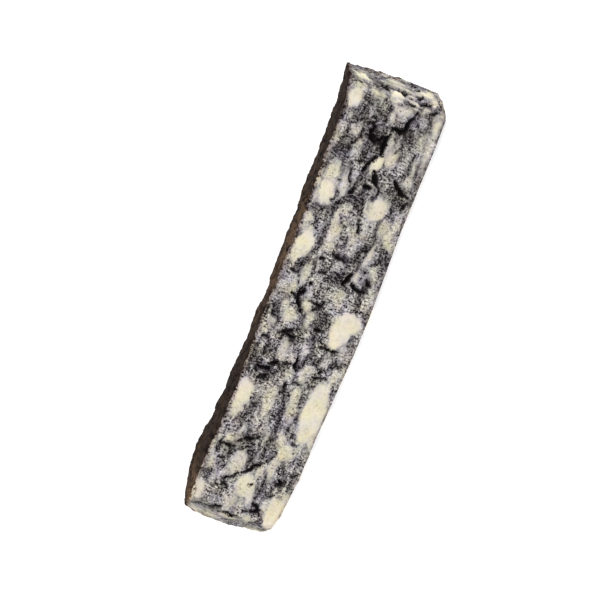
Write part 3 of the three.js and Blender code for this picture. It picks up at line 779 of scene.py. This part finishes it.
def fine_patterns(bench, place):
    """The fine patterns of the paste: the knife's strokes, torn curd and specks."""
    return SimpleNamespace(
        strokes=bench.leaning_noise(place, STROKE_TURN, (1.05, 0.36, 0.6), per_mm=1.3, roughness=0.6),
        tears=bench.noise(place, per_mm=0.42, detail=4.0, roughness=0.62),
        specks=bench.noise(place * (0.82, 1.1, 1.0), per_mm=1.1, roughness=0.7),
    )


def broad_tone(bench, place, fine, end):
    """Lightness of the paste before its grain: the curds, the grey around them, smudges, ends and rim."""
    blotch = bench.noise(place * (0.7, 1.0, 1.0), per_mm=0.2)
    lumps = bench.noise(place * (0.6, 1.0, 1.0), per_mm=0.33)
    drawn_out = bench.warped(place, DRAWN) * (0.16, 0.9, 0.9)
    flow = bench.noise(drawn_out, per_mm=0.6, detail=4.0, roughness=0.65)
    rightward = place.part("X").between(*RIGHT_PART)
    curd_tone = CURD_TONE - (1 - read(bench, "pale")) * GREYER + fine.tears * 0.16 + blotch * 0.16
    grey_tone = GREY_TONE - rightward * 0.05 + lumps * 0.65 + flow * 0.85 + fine.tears * 0.6
    edge = read(bench, "curd") - 0.2 + fine.tears * 4.0 + fine.strokes * 4.0 + fine.specks * 3.0
    tone = bench.mix(edge.between(*CURD_EDGE), grey_tone, curd_tone)
    pool = (read(bench, "pool") + fine.tears * 3.0 + fine.strokes * 2.0).between(*POOL_EDGE)
    tone = bench.mix(pool * 0.86, tone, POOL_TONE + fine.tears * 0.6)
    smeared = bench.noise(place * (0.8, 0.12, 0.3), per_mm=0.8, detail=3.0, roughness=0.6)
    tone = tone + end * (0.08 + smeared * (0.5 + rightward * 0.5))
    soiled = read(bench, "rind_depth").between(*SOILED_RIM)
    return tone - soiled * (0.08 + fine.tears * 0.7)


def grain_strength(bench, place, base, end):
    """How strongly the grain shows: more on dark paste than on pale, less at the ends, and in patches."""
    along = place.part("X")
    smoother = along.between(*SMOOTH_RIGHT) * 0.36 + along.between(*SMOOTH_LEFT) * 0.24 + end * 0.25
    patchy = bench.noise(place * (0.6, 1.0, 1.0), per_mm=0.16).between(-0.14, 0.14)
    by_tone = 1 + base.between(*DARK_PASTE) * 0.9 - base.between(*LIGHT_PASTE) * 0.94
    return by_tone * (1.12 - smoother) * (0.62 + patchy * 0.72)


def paste_tone(bench, place):
    """Lightness of the paste, with painted shade in its open cracks, the height of its fine relief in mm, and
    how far it is crack and curd.
    """
    fine = fine_patterns(bench, place)
    end = read(bench, "end_depth").between(*END_EDGE)
    base = broad_tone(bench, place, fine, end)
    bold = fine.strokes * bench.math("ABSOLUTE", fine.strokes)
    grain = fine.specks * 2.0 + fine.strokes * 0.9 + bold * 9.0
    tone = base + grain * grain_strength(bench, place, base, end)
    tone = bench.math("SMOOTH_MIN", tone, base + GRAIN_LIFT, LIFT_BLEND)
    scratches = (fine.strokes + fine.specks * 0.6).between(-0.06, -0.26)
    tone = tone - scratches * base.between(*BARE_CURD) * 0.35
    # Painted shade: the open cracks are painted near black
    crack = (read(bench, "crack") + fine.specks * 3.2 + fine.strokes * 2.2).between(*CRACK_EDGE)
    tone = bench.mix(crack, tone, CRACK_SHADE_TONE)
    return tone, fine.specks * 0.4 + fine.strokes * 0.3, crack, base.between(*CURD_TINT)


def rind_colour(bench, place, paint):
    """Colour of the rind, with painted shade in the hollows of its relief and painted highlight on its raised
    streaks, and the height of its fine relief in mm.
    """
    swirled = bench.warped(place * (0.6, 1.0, 0.6), SWIRLED)
    patches = bench.noise(swirled, per_mm=0.12, detail=4.0, roughness=0.6)
    stretch = (0.8, 0.9, 0.45)
    streaks = bench.leaning_noise(place, STREAK_TURN, stretch, per_mm=0.4, detail=5.0, roughness=0.7)
    pores = bench.noise(place * (1.0, 1.0, 0.6), per_mm=1.1, detail=3.0, roughness=0.65)
    along = place.part("X") + patches * 60
    # Parts along the rind where it is browner
    browner = bench.math("ABSOLUTE", along - BROWNER_MIDDLE).between(*BROWNER_REACH) * 0.7
    browner = browner + along.between(*BROWNER_END)
    # Brown on the raised streaks and more towards the top of the rind: partly the rind's own brown, partly
    # painted highlight
    rust_and_highlight_share = bench.noise(place * (0.3, 0.8, 0.8), per_mm=0.05).between(-0.04, 0.14)
    rust_and_highlight_share = bench.math("MAXIMUM", rust_and_highlight_share * 0.6, browner) * (0.35 + place.part("Z").between(10, 20) * 0.65)
    streaky = streaks.between(-0.14, 0.08)
    dusty = patches.between(0.05, 0.25) * pores.between(-0.1, 0.2)
    # Dark where the streaks of the relief are low: partly the rind's own colour, partly painted shade
    colour = bench.blend(streaky, paint.rind_dark_and_hollow_shade, paint.rind)
    # Painted highlight, partly the rind's own brown: brown on the raised streaks
    colour = bench.blend(rust_and_highlight_share * streaky, colour, paint.rust_and_highlight)
    colour = bench.blend(dusty * 0.6, colour, paint.bloom)
    # Painted shade in the pits of the rind's relief
    colour = bench.blend(pores.between(-0.04, -0.2) * 0.7, colour, paint.rind_dark_and_hollow_shade)
    return colour, pores * 0.5 + streaks * 0.6


def paste_colour(bench, place, paint, tone, in_curd, wobble):
    """Colour of the paste: its lightness as greys, yellower in the curds, and browned near the rind."""
    tinge = bench.noise(place, per_mm=0.13, output="Color") * (0.16, 0.10, 0.62) + (1, 1, 0.98)
    stops = [(at, getattr(paint, name)) for name, at in TONES.items()]
    paste = bench.node("ShaderNodeValToRGB", {"stops": stops}, {"Fac": tone})["Color"] * tinge
    paste = bench.blend(in_curd, paste, paint.butter, "MULTIPLY")
    near_rind = (read(bench, "rind_depth") + wobble * 3).between(*WARM_BY_RIND)
    near_tip = (read(bench, "tip_depth") + wobble * 3).between(*WARM_BY_TIP)
    near_end = (read(bench, "end_depth") + wobble * 3).between(*WARM_BY_END)
    warmth = near_rind * 0.4 + near_tip * 0.2 + near_end * near_rind * 0.4
    return bench.blend(warmth, paste, paint.peach, "MULTIPLY")


def cheese_material(paint):
    """Marbled paste that turns to rind at its outside."""
    material = bpy.data.materials.new("marbled_cheese")
    material.use_nodes = True
    material.node_tree.nodes.clear()
    bench = Bench(material.node_tree)
    place = bench.node("ShaderNodeTexCoord")["Object"] / MM
    wobble = bench.noise(place, per_mm=0.6, detail=3.0, roughness=0.6)
    wander = bench.noise(place, per_mm=0.12)
    tone, paste_height, crack, in_curd = paste_tone(bench, place)
    paste = paste_colour(bench, place, paint, tone, in_curd, wobble)
    rind, rind_height = rind_colour(bench, place, paint)
    spread = bench.math("MAXIMUM", 1 + wobble * 4 + wander * 4, 0.3)
    is_rind = (read(bench, "rind_depth") * spread).between(*RIND_EDGE)

    height = bench.mix(is_rind, paste_height, rind_height)
    bump = {"Strength": 0.7, "Distance": MM, "Height": height}
    paste_roughness = bench.mix(tone.between(0.2, 0.8), 0.62, 0.48) + crack * 0.2
    shader = {
        "Base Color": bench.blend(is_rind, paste, rind),
        "Roughness": bench.mix(is_rind, paste_roughness, 0.95),
        "Normal": bench.node("ShaderNodeBump", {}, bump)["Normal"],
        "Specular IOR Level": 0.05,
    }
    surface = bench.node("ShaderNodeBsdfPrincipled", {}, shader)["BSDF"]
    bench.node("ShaderNodeOutputMaterial", {}, {"Surface": surface})
    return material


def floor_material(colour, glow):
    """Plain pale floor that gives off a little light."""
    material = bpy.data.materials.new("pale_floor")
    material.use_nodes = True
    bench = Bench(material.node_tree)
    surface = material.node_tree.nodes["Principled BSDF"]
    settings = {"Base Color": tuple(colour), "Roughness": 0.9, "Specular IOR Level": 0.1}
    settings |= {"Emission Color": (1, 1, 1), "Emission Strength": glow}
    for name, value in settings.items():
        bench.feed(surface, name, value)
    return material


# Pieces

WELD = 0.001  # mm
FLOOR_REACH = 4
KEY_PLACE, FILL_PLACE = (0.45, 0.85, 1.25), (-0.3, -0.9, 1.1)


def fine_copy(fineness):
    """A closed, evenly fine copy of the CAD wedge, in an object of its own."""
    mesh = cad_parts[NODE].data.copy()
    merged = bmesh.new()
    merged.from_mesh(mesh)
    bmesh.ops.remove_doubles(merged, verts=merged.verts, dist=MM * WELD)
    merged.to_mesh(mesh)
    merged.free()
    mesh.materials.clear()
    wedge = bpy.data.objects.new("marbled_wedge", mesh)
    bpy.context.scene.collection.objects.link(wedge)
    remesh = wedge.modifiers.new("Even points", "REMESH")
    remesh.mode = "VOXEL"
    remesh.voxel_size = fineness * MM
    return wedge


def made_plain(piece):
    """Replaces a piece's mesh with what its modifiers make of it, and removes them."""
    seen = piece.evaluated_get(bpy.context.evaluated_depsgraph_get())
    mesh = bpy.data.meshes.new_from_object(seen)
    piece.modifiers.clear()
    piece.data = mesh


class CHEESE_OT_wedge(bpy.types.Operator):
    """Builds the wedge of cheese, paste and rind in one piece"""

    bl_idname = "cheese.wedge"
    bl_label = "Wedge"

    def execute(self, context):
        shape = context.scene.cheese_shape
        colours = context.scene.cheese_colours
        paint = {name: tuple(getattr(colours, name)) for name in CheeseColours.__annotations__}
        surface = cad_surface()
        wedge = fine_copy(shape.fineness)
        helpers = {
            "Curds": curds_helper(surface, shape),
            "Cracks": lines_helper("cracks", CRACKS, lambda x, y: upper_point(surface, x, y)),
            "Pools": lines_helper("pools", POOLS, lambda x, y: upper_point(surface, x, y)),
            "Rind creases": lines_helper("creases", RIND_CREASES, lambda x, z: rind_point(surface, x, z)),
        }
        sizes = (shape.unevenness, shape.swell, shape.grain, shape.crumbling, shape.fold_height)
        relief = wedge.modifiers.new("Relief", "NODES")
        relief.node_group = relief_tree(cheese_material(SimpleNamespace(**paint)))
        set_inputs(relief, {**helpers, **dict(zip(SIZES, sizes))})
        made_plain(wedge)
        for helper in helpers.values():
            bpy.data.objects.remove(helper)
        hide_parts(NODE)
        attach(wedge, "root")
        return {"FINISHED"}


class CHEESE_OT_stage(bpy.types.Operator):
    """Sets the floor, the soft lights and the camera over the wedge"""

    bl_idname = "cheese.stage"
    bl_label = "Stage"

    def execute(self, context):
        scene = context.scene
        stage = scene.cheese_stage
        self.lay_floor(scene, stage)
        self.hang_lights(scene, stage)
        self.place_camera(scene, stage)
        return {"FINISHED"}

    def lay_floor(self, scene, stage):
        mesh = bpy.data.meshes.new("floor")
        reach = FLOOR_REACH
        corners = [(-reach, -reach, 0), (reach, -reach, 0), (reach, reach, 0), (-reach, reach, 0)]
        mesh.from_pydata(corners, [], [(0, 1, 2, 3)])
        mesh.materials.append(floor_material(stage.floor, stage.glow))
        floor = bpy.data.objects.new("floor", mesh)
        scene.collection.objects.link(floor)

    def hang_lights(self, scene, stage):
        world = bpy.data.worlds.new("studio")
        world.use_nodes = True
        sky = world.node_tree.nodes["Background"]
        sky.inputs["Color"].default_value = (1, 1, 1, 1)
        sky.inputs["Strength"].default_value = stage.sky
        scene.world = world
        for name, power, place in (("key", stage.key, KEY_PLACE), ("fill", stage.fill, FILL_PLACE)):
            light = bpy.data.lights.new(name, "AREA")
            light.shape = "DISK"
            light.size = stage.softbox
            light.energy = power
            lamp = bpy.data.objects.new(name, light)
            lamp.location = place
            lamp.rotation_euler = (-lamp.location).to_track_quat("-Z", "Y").to_euler()
            scene.collection.objects.link(lamp)

    def place_camera(self, scene, stage):
        low, high = CAD_BOX
        middle = Vector((low.x + high.x, low.y + high.y, 0)) / 2
        right = Vector((math.cos(-stage.turn), math.sin(-stage.turn), 0))
        up = Vector((-right.y, right.x, 0))
        lens = bpy.data.cameras.new("camera")
        lens.lens = stage.lens
        away = stage.view_width * lens.lens / lens.sensor_width
        camera = bpy.data.objects.new("camera", lens)
        camera.location = middle + right * stage.aim_right + up * stage.aim_up + Vector((0, 0, away))
        camera.rotation_euler = (0, 0, -stage.turn)
        scene.collection.objects.link(camera)
        scene.camera = camera
        scene.view_settings.view_transform = "Standard"


class VIEW3D_PT_cheese(bpy.types.Panel):
    """Lists the steps that build the cheese"""

    bl_label = "Marbled cheese wedge"
    bl_space_type = "VIEW_3D"
    bl_region_type = "UI"
    bl_category = "Cheese"

    def draw(self, context):
        for name in ("cheese_shape", "cheese_colours", "cheese_stage"):
            group = getattr(context.scene, name)
            for prop in group.bl_rna.properties:
                if prop.identifier in group.__annotations__:
                    self.layout.prop(group, prop.identifier)
        self.layout.operator(CHEESE_OT_stage.bl_idname)
        self.layout.operator(CHEESE_OT_wedge.bl_idname)


CLASSES = (CheeseShape, CheeseColours, StageSettings, CHEESE_OT_wedge, CHEESE_OT_stage, VIEW3D_PT_cheese)


def register():
    for cls in CLASSES:
        bpy.utils.register_class(cls)
    bpy.types.Scene.cheese_shape = PointerProperty(type=CheeseShape)
    bpy.types.Scene.cheese_colours = PointerProperty(type=CheeseColours)
    bpy.types.Scene.cheese_stage = PointerProperty(type=StageSettings)


def unregister():
    del bpy.types.Scene.cheese_stage
    del bpy.types.Scene.cheese_colours
    del bpy.types.Scene.cheese_shape
    for cls in reversed(CLASSES):
        bpy.utils.unregister_class(cls)


def main():
    register()
    bpy.ops.cheese.stage()
    bpy.ops.cheese.wedge()


if __name__ == "__main__":
    main()
